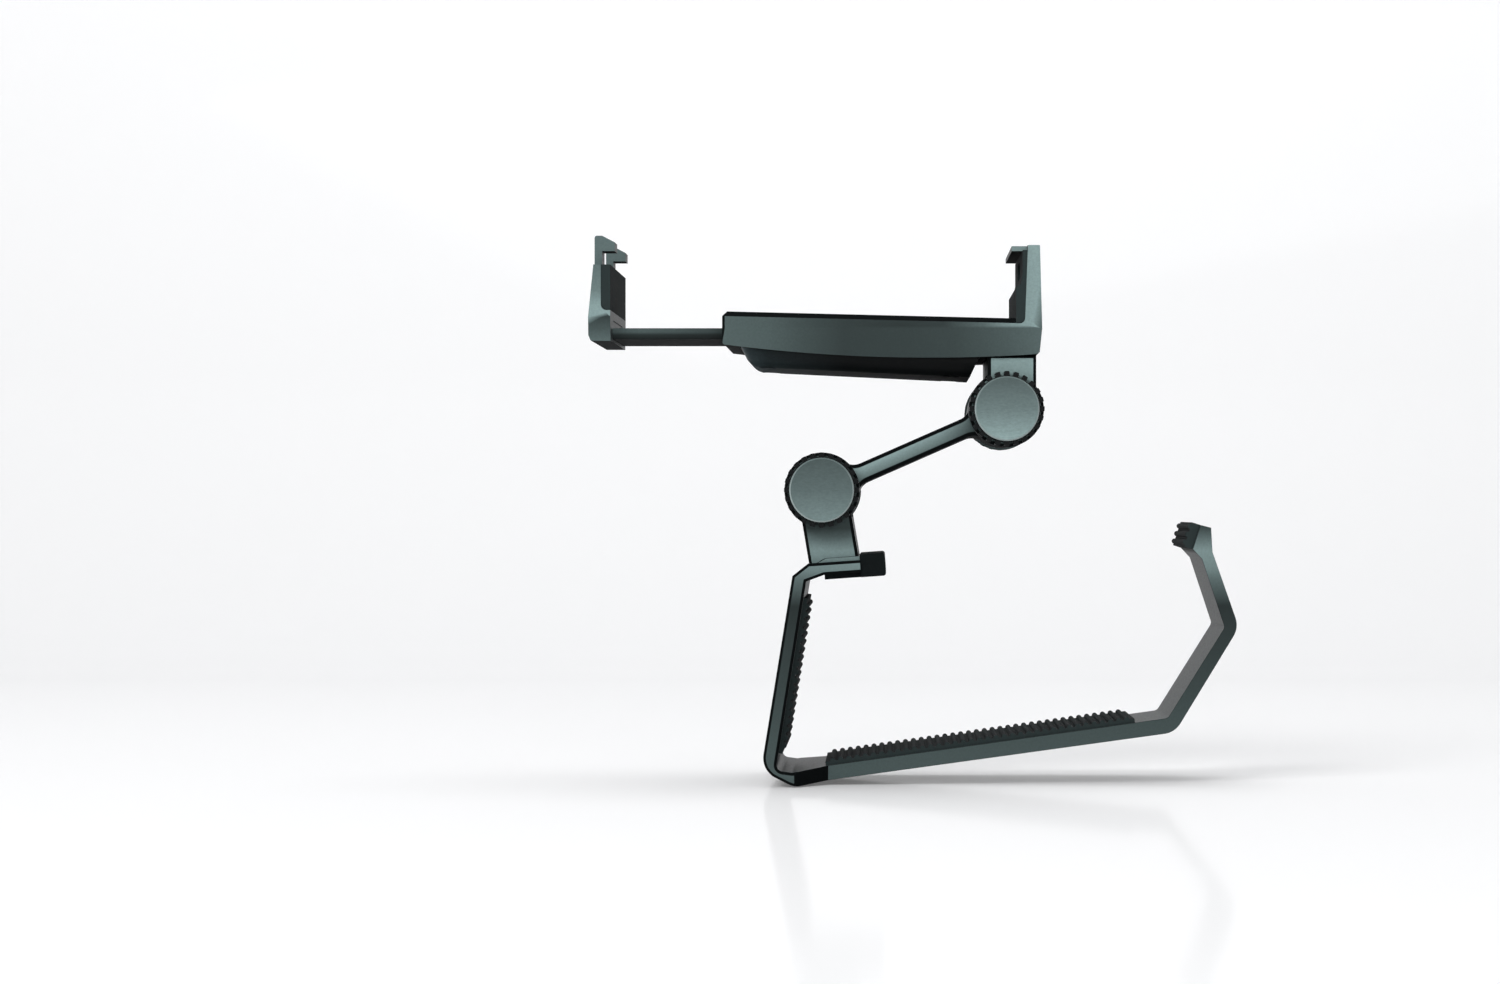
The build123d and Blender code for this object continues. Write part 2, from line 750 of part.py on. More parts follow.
# Steel pin in the roof of the housing that holds the fixed end of the spring
with BuildPart() as spring_anchor:
    with BuildSketch(clamp_plane(slide_bottom - post_reach)):
        with Locations((anchor_x, 0)):
            Circle(anchor_radius)
    extrude(amount=post_reach + slide_thickness + slide_clearance + anchor_grip)
save(spring_anchor, "spring_anchor")

# Extension spring, stretched between the post and the pin, with a loop at each end
loop_shift = spring_radius - spring_wire - anchor_radius - running_gap
loop_start = post_x + loop_shift
loop_end = anchor_x - loop_shift
coil_start = loop_start + spring_radius + 2 * spring_wire
coil_end = loop_end - spring_radius - 2 * spring_wire
coil_level = slide_bottom - spring_drop
coil_frame = Plane(
    origin=(upper_pivot_x + coil_start, 0, upper_pivot_z + coil_level),
    x_dir=(0, 1, 0),
    z_dir=(1, 0, 0),
)
coil_length = coil_end - coil_start
coil_path = coil_frame * Edge.make_helix(coil_length / spring_turns, coil_length, spring_radius)

with BuildPart() as return_spring:
    for tip, loop_x, toward_coil in ((coil_path @ 0, loop_start, 1), (coil_path @ 1, loop_end, -1)):
        loop_plane = Plane(
            origin=(upper_pivot_x + loop_x, 0, upper_pivot_z + coil_level),
            x_dir=(toward_coil, 0, 0),
            z_dir=(0, 0, toward_coil),
        )
        leg_length = abs(tip.X - loop_plane.origin.X)
        with BuildLine(loop_plane) as hook:
            Line((leg_length, spring_radius), (0, spring_radius))
            CenterArc((0, 0), spring_radius, 90, loop_turn)
        with BuildSketch(Plane(origin=tip, z_dir=(-toward_coil, 0, 0))):
            Circle(spring_wire)
        sweep(path=hook.wire())
        with Locations(tip):
            Sphere(spring_wire * knuckle_swell)
    with BuildSketch(Plane(origin=coil_path @ 0, z_dir=coil_path % 0)):
        Circle(spring_wire)
    sweep(path=coil_path, is_frenet=True)
save(return_spring, "return_spring")


# Neck: a block with two ears, forked to take a barrel of the link arm
def make_neck(root_side, shift, width, length):
    """A neck whose block runs along the y axis of the plane, from the pivot at its origin."""
    with BuildPart() as neck:
        with BuildSketch(root_side):
            Circle(ear_radius)
            with Locations((shift, 0)):
                Rectangle(width, length, align=(Align.CENTER, Align.MIN))
        extrude(amount=ear_outer, both=True)
        root_level = length - ear_bevel
        outline = neck.faces().filter_by(Axis.Y).edges()
        outline = outline.filter_by(lambda e: root_side.to_local_coords(e.center()).Y < root_level)
        chamfer(outline, ear_bevel)
        root_face = neck.faces().sort_by_distance(root_side.from_local_coords(Vector(shift, length)))[0]
        chamfer(root_face.edges().group_by(Axis.Y)[0] + root_face.edges().group_by(Axis.Y)[-1], neck_shoulder)
        with BuildSketch(root_side):
            Circle(barrel_radius + slot_clearance)
            Rectangle(4 * ear_radius, 2 * ear_radius, align=(Align.CENTER, Align.MAX))
        extrude(amount=ear_inner, both=True, mode=Mode.SUBTRACT)
        with BuildSketch(root_side):
            Circle(bore_radius)
        extrude(amount=2 * ear_outer, both=True, mode=Mode.SUBTRACT)
    return neck.part


# Upper neck, screwed under the back end of the housing
with BuildPart() as clamp_neck:
    add(make_neck(clamp_side, neck_shift, neck_width, neck_level))
    with BuildSketch(clamp_plane(neck_level)):
        with Locations((neck_screw_x, -neck_screw_offset), (neck_screw_x, neck_screw_offset)):
            Circle(screw_radius)
    extrude(amount=-neck_screw_bite, mode=Mode.SUBTRACT)
save(clamp_neck, "clamp_neck")

# Cradle levels, measured square to the tilted top of the game pad
saddle_side = side_plane(0, 0, seat_tilt)
plate_top = saddle_pad_thickness + saddle_thickness
tail_half_width = saddle_width / 2 - boot_inset - boot_wall
neck_side = side_plane(*lower_pivot, 180 + neck_lean)
pivot_rise = saddle_side.to_local_coords(Vector(lower_pivot_x, 0, lower_pivot_z)).Y
neck_drop = (pivot_rise - plate_top) / cos(radians(neck_lean + seat_tilt)) + lower_neck_sink


def tilted(along, above):
    """Side view point given along and above the tilted seat."""
    place = saddle_side.from_local_coords(Vector(along, above, 0))
    return (place.X, place.Z)


shoulder_top = tilted(-saddle_front, plate_top)
shoulder_foot = (shoulder_top[0] - shoulder_run, shoulder_top[1] - shoulder_drop)
wall_slope = tan(radians(wall_lean))
wall_foot = (shoulder_foot[0] - wall_slope * wall_height, shoulder_foot[1] - wall_height)
wall_inner_top = (
    shoulder_foot[0] + wall_thickness - wall_slope * shoulder_bevel,
    shoulder_foot[1] - shoulder_bevel,
)
wall_inner_foot = (wall_foot[0] + wall_thickness, wall_foot[1])
strap_front = (wall_foot[0] + strap_corner, wall_foot[1] - strap_corner / 2)
strap_rear = (strap_rear_x, strap_front[1] + strap_rise)
strap_inner_front = (wall_inner_foot[0] + strap_corner / 2, strap_front[1] + strap_thickness)
strap_inner_rear = (strap_rear_x - strap_thickness / 2, strap_rear[1] + strap_thickness)
hook_tip_outer = (hook_x - hook_bevel / 2, hook_z + hook_height)
hook_tip_inner = (hook_tip_outer[0] - hook_shell, hook_tip_outer[1] + hook_bevel)
hook_slope = tan(radians(hook_lean))
hook_foot_inner = (hook_tip_inner[0] - hook_slope * hook_height, hook_tip_inner[1] - hook_height)
strap_inner_top = (hook_x - hook_shell, hook_z - strap_thickness / 2)
bulge_outer = (bulge_x, bulge_z)
bulge_inner = (bulge_x - strap_thickness, bulge_z)

# Cradle: one springy C with the lower neck standing on its saddle
with BuildPart() as cradle:
    with BuildSketch(side_plane(0, 0)) as c_outline:
        with BuildLine():
            Polyline(
                tilted(saddle_rear, plate_top),
                shoulder_top,
                shoulder_foot,
                wall_foot,
                strap_front,
                strap_rear,
                bulge_outer,
                (hook_x, hook_z),
                hook_tip_outer,
                hook_tip_inner,
                hook_foot_inner,
                strap_inner_top,
                bulge_inner,
                strap_inner_rear,
                strap_inner_front,
                wall_inner_foot,
                wall_inner_top,
                tilted(-saddle_front + shoulder_run, saddle_pad_thickness),
                tilted(saddle_rear, saddle_pad_thickness),
                close=True,
            )
        make_face()
        for turns, turn_radius in (
            ((wall_foot, strap_front, strap_rear, bulge_outer), strap_round),
            ((wall_inner_foot, strap_inner_front, strap_inner_rear, bulge_inner), strap_inner_round),
        ):
            for turn in turns:
                fillet(c_outline.vertices().sort_by_distance(Vector(*turn))[0], turn_radius)
    extrude(amount=saddle_width / 2, both=True)
    chamfer(cradle.faces().filter_by(Axis.Y).edges(), cradle_bevel)

    # The strap and the hook are narrower than the saddle and the front wall
    for side in (-1, 1):
        with BuildSketch(Plane.XY.offset(wall_foot[1] - strap_thickness - strap_corner)):
            with BuildLine():
                Polyline(
                    (strap_front[0], side * saddle_width),
                    (strap_front[0], side * saddle_width / 2),
                    (strap_front[0] + strap_corner, side * strap_width / 2),
                    (bulge_x + strap_thickness, side * strap_width / 2),
                    (bulge_x + strap_thickness, side * saddle_width),
                    close=True,
                )
            make_face()
        extrude(amount=strap_thickness + 2 * strap_corner, mode=Mode.SUBTRACT)
        with BuildSketch(Plane.XY.offset(wall_foot[1])):
            with Locations((strap_rear_x / 2, side * strap_width / 2)):
                trim_align = (Align.MIN, Align.MIN if side > 0 else Align.MAX)
                Rectangle(strap_rear_x, saddle_width, align=trim_align)
        extrude(amount=2 * wall_height, mode=Mode.SUBTRACT)

    # The tail of the saddle is narrower, to take a rubber boot
    for side in (-1, 1):
        with BuildSketch(saddle_side.offset(-side * tail_half_width)):
            with Locations((boot_front, 0)):
                Rectangle(2 * saddle_rear, 2 * plate_top, align=(Align.MIN, Align.CENTER))
        extrude(amount=-side * saddle_width, mode=Mode.SUBTRACT)

    # Low plinth on the saddle, and the neck that stands on it
    with BuildSketch(saddle_side):
        with BuildLine():
            Polyline(
                (-plinth_front - 2 * plinth_height, plate_top),
                (-plinth_front, plate_top + plinth_height),
                (boot_front, plate_top + plinth_height),
                (boot_front, plate_top - plinth_sink),
                (-plinth_front - 2 * plinth_height, plate_top - plinth_sink),
                close=True,
            )
        make_face()
    extrude(amount=saddle_width / 2 - plinth_inset, both=True)
    add(make_neck(neck_side, 0, lower_neck_width, neck_drop))
save(cradle, "cradle")


# Rubber liners inside the cradle
def make_liner(start, end, inset, thickness, half_width, label):
    """A ribbed rubber liner on the line from start to end, on the left of that line."""
    run = hypot(end[0] - start[0], end[1] - start[1])
    slope = degrees(atan2(end[1] - start[1], end[0] - start[0]))
    liner_side = side_plane(*start, slope)
    with BuildPart() as liner:
        with BuildSketch(liner_side):
            with Locations((inset, 0)):
                Rectangle(run - 2 * inset, thickness - liner_rib, align=(Align.MIN, Align.MIN))
            rib_count = int((run - 2 * inset) / liner_rib_pitch)
            first_rib = (run - (rib_count - 1) * liner_rib_pitch) / 2
            for rib in range(rib_count):
                with Locations((first_rib + rib * liner_rib_pitch, thickness - liner_rib)):
                    Circle(liner_rib)
        extrude(amount=half_width, both=True)
    save(liner, label)


wall_liner_half = saddle_width / 2 - liner_inset
strap_liner_half = strap_width / 2 - boot_inset
make_liner(wall_inner_top, wall_inner_foot, liner_inset, liner_thickness, wall_liner_half, "front_pad")
strap_inset = 2 * liner_inset
make_liner(strap_inner_front, strap_inner_rear, strap_inset, liner_thickness, strap_liner_half, "bottom_pad")
make_liner(hook_foot_inner, hook_tip_inner, 0, hook_pad_thickness, strap_liner_half, "hook_pad")

# Rubber boot over the tail of the saddle, with a thin tongue forward under the plate
with BuildPart() as saddle_pad:
    with BuildSketch(saddle_side):
        with Locations((boot_front, 0)):
            boot_run = boot_rear - boot_front
            Rectangle(boot_run, plate_top + boot_rise, align=(Align.MIN, Align.MIN))
    extrude(amount=saddle_width / 2 - boot_inset, both=True)
    boot_rims = saddle_pad.edges().filter_by(Axis.Y).sort_by(Axis.X)[-2:]
    fillet(boot_rims, boot_rise / 2)
    with BuildSketch(saddle_side):
        with Locations((0, saddle_pad_thickness)):
            Rectangle(2 * saddle_rear, saddle_thickness, align=(Align.CENTER, Align.MIN))
    extrude(amount=tail_half_width, both=True, mode=Mode.SUBTRACT)
    with BuildSketch(saddle_side):
        tongue_run = boot_rear - boot_rise + saddle_front - shoulder_run
        with Locations((-saddle_front + shoulder_run, 0)):
            Rectangle(tongue_run, saddle_pad_thickness, align=(Align.MIN, Align.MIN))
    extrude(amount=tail_half_width, both=True)
save(saddle_pad, "saddle_pad")
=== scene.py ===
import math

import bmesh
import bpy
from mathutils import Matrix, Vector


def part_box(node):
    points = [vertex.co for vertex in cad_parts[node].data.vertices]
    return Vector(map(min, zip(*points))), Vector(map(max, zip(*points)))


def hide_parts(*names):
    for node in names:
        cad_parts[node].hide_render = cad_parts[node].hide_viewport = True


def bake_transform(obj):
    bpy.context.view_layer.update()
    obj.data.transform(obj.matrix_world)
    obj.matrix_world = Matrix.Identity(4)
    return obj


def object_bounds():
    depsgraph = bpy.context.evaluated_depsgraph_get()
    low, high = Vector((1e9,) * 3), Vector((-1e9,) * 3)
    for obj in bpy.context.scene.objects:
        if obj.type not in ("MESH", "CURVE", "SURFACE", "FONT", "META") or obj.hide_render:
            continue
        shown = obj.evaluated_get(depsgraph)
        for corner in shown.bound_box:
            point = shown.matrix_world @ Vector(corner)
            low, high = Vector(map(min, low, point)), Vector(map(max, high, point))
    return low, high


# Looks for the phone clip: finishes, rounded edges, the spring's wire, studio and camera.
# Metres. X runs rearward, Y from the near side to the far side, Z up.

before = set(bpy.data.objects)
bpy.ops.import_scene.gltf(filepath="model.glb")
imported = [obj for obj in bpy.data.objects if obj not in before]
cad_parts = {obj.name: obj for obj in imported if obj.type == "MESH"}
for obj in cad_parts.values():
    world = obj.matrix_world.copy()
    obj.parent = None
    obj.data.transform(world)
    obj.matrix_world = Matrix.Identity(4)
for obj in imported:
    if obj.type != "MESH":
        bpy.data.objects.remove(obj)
cad_low, cad_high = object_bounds()

MM = 0.001

# Camera, in the photo's 1500 by 984 frame
CAMERA_PLACE = Vector((7.54, -675.0, 11.96)) * MM
CAMERA_LEVEL = 90
FOCAL_PIXELS = 3645.0
PHOTO_WIDTH = 1500.0
PHOTO_HEIGHT = 984.0
VANISHING_X = 886.0
VANISHING_Y = 512.0
SENSOR_MM = 36.0
CLIP_NEAR = 0.01
CLIP_FAR = 20.0

# Colours, linear
GRAPHITE = (0.105, 0.145, 0.143)
# Painted shade: near-black on bevels and undersides, darker on tops and ends
GRAPHITE_PAINTED_EDGE_SHADE = (0.003, 0.0042, 0.0045)
GRAPHITE_PAINTED_BROAD_SHADE = (0.024, 0.032, 0.032)
GRAPHITE_DARK = (0.022, 0.029, 0.03)
# Painted highlight for the caps' edges
CAP_PAINTED_RIM_LIGHT = (0.3, 0.36, 0.355)
BLACK_PLASTIC = (0.0035, 0.0045, 0.005)
# The cover's colour at plain brightness, which painted light raises towards the front end
COVER_LIT = (0.011, 0.0165, 0.018)
RUBBER = (0.0055, 0.0075, 0.008)
# Painted light on rubber side faces
RUBBER_PAINTED_SIDE_LIGHT = (0.026, 0.036, 0.036)
STEEL = (0.42, 0.43, 0.44)
NYLON = (0.55, 0.55, 0.52)
FLOOR = (0.86, 0.86, 0.865)
SKY = (0.95, 0.97, 1.0)
WHITE = (1.0, 1.0, 1.0)

# The other of the two colours that the grain mixes, as a multiple of the first
PLASTIC_LIGHTER = 1.35
RUBBER_LIGHTER = 1.9
METAL_DARKER = 0.7

# Specular levels
GRAPHITE_SPECULAR = 0.07
CAP_SPECULAR = 0.12
PLASTIC_SPECULAR = 0.08
RUBBER_SPECULAR = 0.07
METAL_SPECULAR = 0.5

# Roughness: the plain level, and the two levels that the grain varies it between
GRAPHITE_ROUGH, GRAPHITE_ROUGH_SPAN = 0.42, (0.36, 0.5)
CAP_ROUGH, CAP_ROUGH_SPAN = 0.36, (0.3, 0.46)
RUBBER_ROUGH, RUBBER_ROUGH_SPAN = 0.85, (0.78, 0.95)
KNOB_ROUGH = 0.36
COVER_ROUGH = 0.36
NYLON_ROUGH = 0.5
STEEL_ROUGH = 0.34
MATTE_ROUGH = 0.97

# How far the grain takes the plain roughness down and up
PLASTIC_SPREAD = (0.06, 0.08)
METAL_SPREAD = (0.08, 0.1)

# Grains: noise scale, bump strength, bump distance, and stretch along X, Y and Z
EVEN = (1, 1, 1)
GRAPHITE_GRAIN = (2600.0, 0.12, 0.00004, EVEN)
CAP_GRAIN = (3600.0, 0.16, 0.00003, (0.45, 1, 1))
PLASTIC_GRAIN = (2200.0, 0.12, 0.00004, EVEN)
RUBBER_GRAIN = (1500.0, 0.35, 0.00008, EVEN)
METAL_GRAIN = (900.0, 0.08, 0.00003, (1, 6, 1))
NOISE_DETAIL = 4.0
NOISE_ROUGHNESS = 0.6

# Spans of the noise that become 0 to 1, and the most dark that the grain mixes in
NOISE_SPAN = (0.3, 0.7)
NARROW_NOISE_SPAN = (0.35, 0.65)
GRAPHITE_SPECKLE = 0.14
CAP_SPECKLE = 0.24

# Spans of one part of the normal over which a share goes from 0 to 1
SIDE_FACE = (0.86, 0.97)
LEANING_FACE = (-0.06, -0.13)
OFF_SIDE_FACE = (0.45, 0.2)
NOT_UNDERSIDE = (-0.8, -0.4)
UNDERSIDE = (-0.4, -0.8)

# Degrees by which the arm rises rearward at rest
ARM_TILT = 23.7

# Rounding of the sharp edges: width, segments and the nodes that have it
ROUNDED = (
    (0.2 * MM, 2, ("clamp_housing", "sliding_jaw", "clamp_neck", "link_arm", "cradle")),
    (0.15 * MM, 2, ("clamp_cover", "slide_plate")),
    (0.25 * MM, 3, ("saddle_pad", "fixed_jaw_pad", "sliding_jaw_pad", "hook_pad")),
)
SHARP_ANGLE = 28.0
WELD_GAP = 0.002 * MM
NORMAL_WEIGHT = 60

# Studio: the sweep, its paper, the world and the lamps
SWEEP_DROP = 0.2 * MM
SWEEP_HALF_WIDTH = 1.6
SWEEP_NEAR = -1.1
SWEEP_BACK = 0.75
SWEEP_RADIUS = 0.35
SWEEP_HEIGHT = 1.4
SWEEP_STEPS = 16
PAPER_ROUGHNESS = 0.9
PAPER_SPECULAR = 0.1
PAPER_COAT = 0.25
PAPER_COAT_ROUGHNESS = 0.1
PAPER_LIFT = (0.15, 0.29)
PAPER_LIFT_HEIGHT = 0.35
WORLD_STRENGTH = 0.24
# Each lamp: name, place, aim, width and height, watts
LAMPS = (
    ("key", (-0.55, -0.9, 0.75), (0.01, 0, 0.01), (0.7, 0.5), 8.5),
    ("front", (0.25, -1.1, 0.15), (0.01, 0, 0.01), (0.6, 0.6), 3.2),
    ("top", (0.1, 0.15, 1.0), (0.01, 0, 0), (0.9, 0.7), 4.5),
)


def node_of(tree, kind, **values):
    """A shader node with some of its inputs or properties set."""
    node = tree.nodes.new(kind)
    for name, value in values.items():
        if name in node.inputs:
            node.inputs[name].default_value = value
        else:
            setattr(node, name, value)
    return node


def new_material(name, roughness, specular, metallic=0.0):
    """A material with its levels set, its node tree and its Principled shader."""
    material = bpy.data.materials.new(name)
    material.use_nodes = True
    tree = material.node_tree
    shader = tree.nodes["Principled BSDF"]
    shader.inputs["Roughness"].default_value = roughness
    shader.inputs["Specular IOR Level"].default_value = specular
    shader.inputs["Metallic"].default_value = metallic
    return material, tree, shader


def rgba(colour):
    return (*colour, 1.0)


def scaled(colour, factor):
    return tuple(factor * part for part in colour)


def put_in(tree, socket, value):
    """Links a socket to the input socket, or writes a plain value on it."""
    if isinstance(value, bpy.types.NodeSocket):
        tree.links.new(value, socket)
    else:
        socket.default_value = value


def mix_colours(tree, share, first, second):
    """A mix of two colours or colour sockets by a share socket: its output socket."""
    mix = node_of(tree, "ShaderNodeMix", data_type="RGBA")
    tree.links.new(share, mix.inputs["Factor"])
    for socket, value in ((mix.inputs["A"], first), (mix.inputs["B"], second)):
        put_in(tree, socket, rgba(value) if isinstance(value, tuple) else value)
    return mix.outputs["Result"]


def multiply_colours(tree, first, second):
    """The product of two colour sockets."""
    mix = node_of(tree, "ShaderNodeMix", data_type="RGBA", blend_type="MULTIPLY")
    mix.inputs["Factor"].default_value = 1.0
    tree.links.new(first, mix.inputs["A"])
    tree.links.new(second, mix.inputs["B"])
    return mix.outputs["Result"]


def math_node(tree, operation, first, second=0.0):
    """A sum, product or the like of two sockets or numbers."""
    node = node_of(tree, "ShaderNodeMath", operation=operation)
    put_in(tree, node.inputs[0], first)
    put_in(tree, node.inputs[1], second)
    return node.outputs["Value"]


def range_node(tree, value, low, high, out_low=0.0, out_high=1.0):
    """A socket that runs from out_low to out_high as the value runs from low to high."""
    node = tree.nodes.new("ShaderNodeMapRange")
    tree.links.new(value, node.inputs["Value"])
    node.inputs["From Min"].default_value = low
    node.inputs["From Max"].default_value = high
    node.inputs["To Min"].default_value = out_low
    node.inputs["To Max"].default_value = out_high
    return node.outputs["Result"]


def object_places(tree, tilt=0.0):
    """Object coordinates in metres, and their parts with the X axis raised by the tilt."""
    places = tree.nodes.new("ShaderNodeTexCoord")
    turn = tree.nodes.new("ShaderNodeMapping")
    turn.inputs["Rotation"].default_value = (0.0, math.radians(tilt), 0.0)
    tree.links.new(places.outputs["Object"], turn.inputs["Vector"])
    parts = tree.nodes.new("ShaderNodeSeparateXYZ")
    tree.links.new(turn.outputs["Vector"], parts.inputs["Vector"])
    return places, parts


def surface_normal(tree, places):
    """The separate parts of the normal, in the object's own frame."""
    parts = tree.nodes.new("ShaderNodeSeparateXYZ")
    tree.links.new(places.outputs["Normal"], parts.inputs["Vector"])
    return parts


def sideways(tree, normal, span):
    """A share by how far a face looks to either side."""
    return range_node(tree, math_node(tree, "ABSOLUTE", normal.outputs["Y"]), *span)


def painted_light_ramp(tree, place, painted_shades, colour):
    """Painted light and shade: the colour, brighter or darker along a place socket by (metres,
    brightness) pairs.
    """
    low = painted_shades[0][0]
    high = painted_shades[-1][0]
    ramp = tree.nodes.new("ShaderNodeValToRGB")
    elements = ramp.color_ramp.elements
    while len(elements) < len(painted_shades):
        elements.new(0.5)
    for element, (spot, bright) in zip(elements, painted_shades):
        element.position = (spot - low) / (high - low)
        element.color = rgba(scaled(colour, bright))
    tree.links.new(range_node(tree, place, low, high), ramp.inputs["Fac"])
    return ramp.outputs["Color"]


def grain(tree, places, shader, kind):
    """Fine moulded grain as bump, and its noise value for colour and roughness."""
    scale, strength, distance, stretch = kind
    mapping = node_of(tree, "ShaderNodeMapping", Scale=stretch)
    tree.links.new(places.outputs["Object"], mapping.inputs["Vector"])
    noise = node_of(
        tree, "ShaderNodeTexNoise", Scale=scale, Detail=NOISE_DETAIL, Roughness=NOISE_ROUGHNESS
    )
    tree.links.new(mapping.outputs["Vector"], noise.inputs["Vector"])
    bump = node_of(tree, "ShaderNodeBump", Strength=strength, Distance=distance)
    tree.links.new(noise.outputs["Fac"], bump.inputs["Height"])
    tree.links.new(bump.outputs["Normal"], shader.inputs["Normal"])
    return noise.outputs["Fac"]


def vary_roughness(tree, shader, noise, low, high, matte=None):
    """Roughness that follows the grain, and is nearly matte where the matte share is 1."""
    rough = range_node(tree, noise, *NOISE_SPAN, low, high)
    if matte is not None:
        floor = math_node(tree, "MULTIPLY", matte, MATTE_ROUGH)
        rough = math_node(tree, "MAXIMUM", rough, floor)
    tree.links.new(rough, shader.inputs["Roughness"])


def graphite(name, painted_shades, axis="X", leaning_painted_shade=None, tilt=0.0, painted_fade=None):
    """Satin graphite plastic with painted light and shade: lit side faces, painted near-black
    shade on bevels, and painted dark shade on ends and undersides.

    The brightness pairs (metres along the axis, brightness) paint light on the side faces.
    Those for the crease paint shade where a side leans inward under it, and a painted
    dimming along X darkens them."""
    material, tree, shader = new_material(name, GRAPHITE_ROUGH, GRAPHITE_SPECULAR)
    places, parts = object_places(tree, tilt)
    normal = surface_normal(tree, places)
    noise = grain(tree, places, shader, GRAPHITE_GRAIN)
    place = parts.outputs[axis]

    lit = painted_light_ramp(tree, place, painted_shades, GRAPHITE)
    # Painted shade under a crease, where the side leans inward
    if leaning_painted_shade:
        under = range_node(tree, normal.outputs["Z"], *LEANING_FACE)
        lit = mix_colours(tree, under, lit, painted_light_ramp(tree, place, leaning_painted_shade, GRAPHITE))
    # Painted shade: a dimming along X
    if painted_fade:
        lit = multiply_colours(tree, lit, painted_light_ramp(tree, parts.outputs["X"], painted_fade, WHITE))
    speckle = range_node(tree, noise, *NARROW_NOISE_SPAN, 0.0, GRAPHITE_SPECKLE)
    lit = mix_colours(tree, speckle, lit, GRAPHITE_DARK)

    # Painted shade: faces that don't look sideways get near-black or dark grey in place of lit
    # graphite
    across = sideways(tree, normal, OFF_SIDE_FACE)
    upward = range_node(tree, normal.outputs["Z"], *NOT_UNDERSIDE)
    open_share = math_node(tree, "MULTIPLY", across, upward)
    painted_dark_faces = mix_colours(tree, open_share, GRAPHITE_PAINTED_EDGE_SHADE, GRAPHITE_PAINTED_BROAD_SHADE)
    sides = sideways(tree, normal, SIDE_FACE)
    tree.links.new(mix_colours(tree, sides, painted_dark_faces, lit), shader.inputs["Base Color"])

    glossy = math_node(tree, "MAXIMUM", sides, open_share)
    matte = math_node(tree, "SUBTRACT", 1.0, glossy)
    vary_roughness(tree, shader, noise, *GRAPHITE_ROUGH_SPAN, matte)
    return material


def brushed_cap(name, box, low_shade, high_shade):
    """Graphite disc with a fine brushed grain, with painted shade darker towards its top, and a
    paler painted highlight round its edge, strongest towards the foot.
    """
    material, tree, shader = new_material(name, CAP_ROUGH, CAP_SPECULAR)
    places, parts = object_places(tree)
    normal = surface_normal(tree, places)
    noise = grain(tree, places, shader, CAP_GRAIN)
    height = parts.outputs["Z"]
    low, middle, high = box[0].z, (box[0].z + box[1].z) / 2, box[1].z
    middle_shade = (low_shade + 2 * high_shade) / 3
    painted_shades = ((low, low_shade), (middle, middle_shade), (high, high_shade))
    face = painted_light_ramp(tree, height, painted_shades, GRAPHITE)
    speckle = range_node(tree, noise, *NOISE_SPAN, 0.0, CAP_SPECKLE)
    face = mix_colours(tree, speckle, face, GRAPHITE_DARK)
    # Painted highlight round the edge, strongest on the lower half
    painted_rim = mix_colours(tree, range_node(tree, height, middle, high), CAP_PAINTED_RIM_LIGHT, GRAPHITE)
    sides = sideways(tree, normal, SIDE_FACE)
    tree.links.new(mix_colours(tree, sides, painted_rim, face), shader.inputs["Base Color"])
    vary_roughness(tree, shader, noise, *CAP_ROUGH_SPAN)
    return material


def dark_plastic(name, colour, roughness, painted_shades=None):
    """Moulded plastic with a fine grain, matte underneath, with painted light and shade along X
    by any brightness pairs given.
    """
    material, tree, shader = new_material(name, roughness, PLASTIC_SPECULAR)
    places, parts = object_places(tree)
    normal = surface_normal(tree, places)
    noise = grain(tree, places, shader, PLASTIC_GRAIN)
    lighter = scaled(colour, PLASTIC_LIGHTER)
    skin = mix_colours(tree, range_node(tree, noise, *NOISE_SPAN), colour, lighter)
    if painted_shades:
        skin = multiply_colours(tree, skin, painted_light_ramp(tree, parts.outputs["X"], painted_shades, WHITE))
    tree.links.new(skin, shader.inputs["Base Color"])
    under = range_node(tree, normal.outputs["Z"], *UNDERSIDE)
    down, up = PLASTIC_SPREAD
    vary_roughness(tree, shader, noise, roughness - down, roughness + up, under)
    return material


def soft_rubber(name, colour, painted_side_light):
    """Matte rubber with a leathery moulded skin, and a second colour on side faces that paints
    light there.
    """
    material, tree, shader = new_material(name, RUBBER_ROUGH, RUBBER_SPECULAR)
    places, _ = object_places(tree)
    normal = surface_normal(tree, places)
    noise = grain(tree, places, shader, RUBBER_GRAIN)
    skin = mix_colours(tree, noise, colour, scaled(colour, RUBBER_LIGHTER))
    # Painted light: side faces take the paler side colour
    sides = sideways(tree, normal, SIDE_FACE)
    tree.links.new(mix_colours(tree, sides, skin, painted_side_light), shader.inputs["Base Color"])
    vary_roughness(tree, shader, noise, *RUBBER_ROUGH_SPAN)
    return material


def bare_metal(name, colour, roughness):
    """Plated steel with faint machining lines."""
    material, tree, shader = new_material(name, roughness, METAL_SPECULAR, metallic=1.0)
    places, _ = object_places(tree)
    noise = grain(tree, places, shader, METAL_GRAIN)
    darker = scaled(colour, METAL_DARKER)
    tree.links.new(mix_colours(tree, noise, darker, colour), shader.inputs["Base Color"])
    down, up = METAL_SPREAD
    vary_roughness(tree, shader, noise, roughness - down, roughness + up)
    return material


